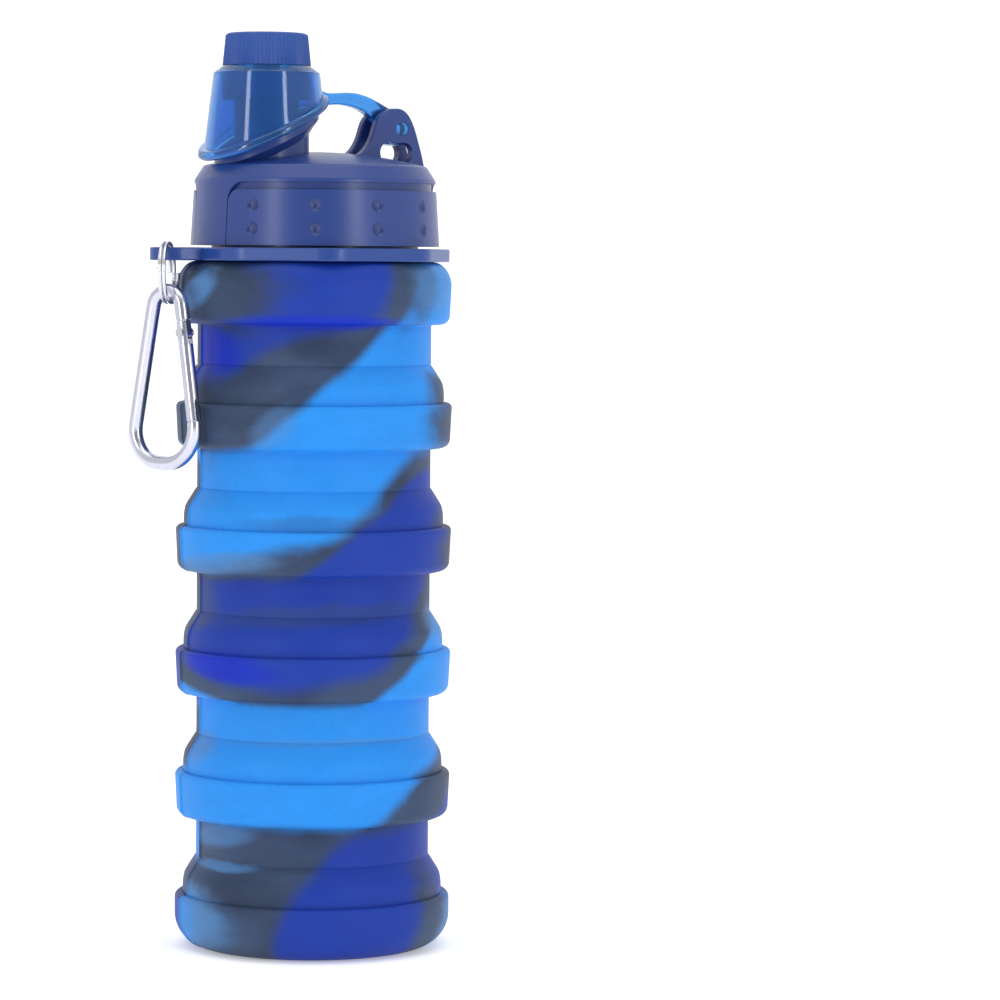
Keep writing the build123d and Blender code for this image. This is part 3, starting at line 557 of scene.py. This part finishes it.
material = silicone()
fold_foot = [BASE_TOP]
for number in range(FOLDS, 0, -1):
    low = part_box(f"body_ring_{number}")[0].z + TUBE_H
    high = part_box(f"body_ring_{number}")[1].z
    if number == 1:
        outer, inner = ring_outline(low, high, MOUTH_R, *MOUTH_SHOULDER,
                                    TUBE_BORE_R, TUBE_BORE_R)
    else:
        outer, inner = ring_outline(low, high, RING_R, RING_EDGE, RING_EDGE,
                                    LIP_R, RING_BORE_R)
        fold_foot.append(high)
    piece = turned(f"silicone_ring_{number}", outer, inner, material)
    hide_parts(f"body_ring_{number}")
    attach(piece, "mouth" if number == 1 else f"ring_{number}")

for index, foot in enumerate(fold_foot):
    number = FOLDS - index
    outer, inner = fold_outline(foot)
    piece = turned(f"silicone_fold_{number}", outer, inner, material)
    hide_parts(f"fold_wall_{number}")
    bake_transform(piece)

base = turned("silicone_base", *base_outline(), material)
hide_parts("body_base")
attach(base, "base")

# ---------------------------------------------------------------- carried-over CAD nodes

LID_BLUE = srgb(34, 59, 124)
lid_plastic = plastic("lid_plastic", LID_BLUE, 0.32, 0.06).material
panel_plastic = grip_plastic(LID_BLUE)
knob_plastic = plastic("knob_plastic", srgb(26, 70, 146), 0.46, 0.10).material
collar_plastic = plastic("collar_plastic", srgb(26, 62, 134), 0.30, 0.04).material
seal_rubber = plastic("seal_silicone", srgb(205, 208, 214), 0.5, 0.08, 0.06).material
hood_plastic = clear_blue()
alloy = metal("carabiner_alloy", srgb(205, 205, 218), 0.24, 0.25)
steel = metal("ring_steel", srgb(214, 214, 220), 0.16, 0.12)
finish = {
    "neck_collar": collar_plastic, "lid_shell": lid_plastic,
    "grip_panel_front": panel_plastic, "grip_panel_back": panel_plastic,
    "lid_gasket": seal_rubber, "cap_seal": seal_rubber, "cap_hood": hood_plastic,
    "cap_knob": knob_plastic, "cap_stopper": knob_plastic, "split_ring": steel,
    "carabiner_body": alloy, "carabiner_gate": alloy, "gate_rivet": steel,
    "gate_latch_pin": steel,
}
for name, chosen in finish.items():
    data = nodes[name].data
    data.materials.clear()
    data.materials.append(chosen)

# ---------------------------------------------------------------- studio

# Floor, in metres: where it starts, where it bends up, the bend's radius, the top of
# the wall, and half the width.
FLOOR_FRONT, FLOOR_BEND, BEND_R, WALL_TOP, HALF_WIDTH = -2.6, 1.6, 0.8, 3.2, 4.0

# Lamps: name, place, aimed at, width and height in metres, power in watts.
LAMPS = [
    ("softbox_left", (-0.78, -0.98, 0.30), (0, 0, 0.14), 0.16, 1.0, 3.6),
    ("softbox_right", (0.78, -0.98, 0.30), (0, 0, 0.14), 0.16, 1.0, 3.6),
    ("overhead", (0, -0.2, 1.6), (0, 0, 0.1), 1.6, 1.6, 8),
]

# The light from all round is dim within a cone behind the camera. The cone's soft edge
# is given as the Y of a direction, which is -1 straight behind the camera.
CONE_EDGE = (-0.97, -0.55)
CONE_LIGHT, ROUND_LIGHT = 0.30, 0.86
LIGHT_TINT = (0.97, 0.98, 1.0)


def sweep_floor():
    """Pale seamless floor that curves up behind the object."""
    profile = [(FLOOR_FRONT, 0.0), (FLOOR_BEND, 0.0)]
    profile += [(FLOOR_BEND + BEND_R * math.sin(t), BEND_R - BEND_R * math.cos(t))
                for t in np.linspace(0.1, math.pi / 2, 16)]
    profile += [(FLOOR_BEND + BEND_R, WALL_TOP)]
    points, faces = [], []
    for y, z in profile:
        points += [(-HALF_WIDTH, y, z), (HALF_WIDTH, y, z)]
    for i in range(len(profile) - 1):
        faces.append((2 * i, 2 * i + 1, 2 * i + 3, 2 * i + 2))
    mesh = bpy.data.meshes.new("studio_floor")
    mesh.from_pydata(points, [], faces)
    mesh.polygons.foreach_set("use_smooth", [True] * len(mesh.polygons))
    floor = bpy.data.objects.new("studio_floor", mesh)
    scene.collection.objects.link(floor)
    s = Shader("studio_paper")
    fibre = s.noise(s.object_place(), 300, rough=0.6)
    shade = s.mix(fibre, (0.90, 0.90, 0.91, 1), (0.94, 0.94, 0.945, 1))
    s.set(Base_Color=shade, Roughness=0.9, Emission_Color=(1.0, 1.0, 1.0, 1),
          Emission_Strength=0.3)
    mesh.materials.append(s.material)


def softbox(name, place, aim, width, height, power):
    light = bpy.data.lights.new(name, "AREA")
    light.shape = "RECTANGLE"
    light.size, light.size_y = width, height
    light.energy = power
    lamp = bpy.data.objects.new(name, light)
    scene.collection.objects.link(lamp)
    lamp.location = place
    way = Vector(aim) - Vector(place)
    lamp.rotation_euler = way.to_track_quat("-Z", "Y").to_euler()


def light_tent():
    """White light from all round, dimmer behind the camera."""
    world = bpy.data.worlds.new("studio_world")
    scene.world = world
    world.use_nodes = True
    tent = NodeTree(world.node_tree)
    way = tent.split(tent.node("ShaderNodeTexCoord").outputs["Generated"])
    lit = tent.ramp_step(way[1], *CONE_EDGE, CONE_LIGHT, ROUND_LIGHT)
    white = tent.node("ShaderNodeCombineColor")
    for socket, share in zip(white.inputs, LIGHT_TINT):
        tent.link(tent.math("MULTIPLY", lit, share), socket)
    tent.link(white.outputs[0], world.node_tree.nodes["Background"].inputs[0])


sweep_floor()
for lamp in LAMPS:
    softbox(*lamp)
light_tent()
scene.view_settings.view_transform = "Standard"

# ---------------------------------------------------------------- camera

CAMERA_PLACE = (0, -1.08, 0.174)
CAMERA_DOWN, CAMERA_ROLL, CAMERA_YAW = 3.19, -0.42, -2.49  # degrees

camera_data = bpy.data.cameras.new("camera")
camera_data.sensor_width = 36  # millimetres, as is the lens
camera_data.lens = 153
camera_data.clip_end = 20
camera = bpy.data.objects.new("camera", camera_data)
scene.collection.objects.link(camera)
scene.camera = camera
camera.location = CAMERA_PLACE
camera.rotation_mode = "XYZ"
camera.rotation_euler = (
    math.radians(90 - CAMERA_DOWN), math.radians(CAMERA_ROLL), math.radians(CAMERA_YAW))
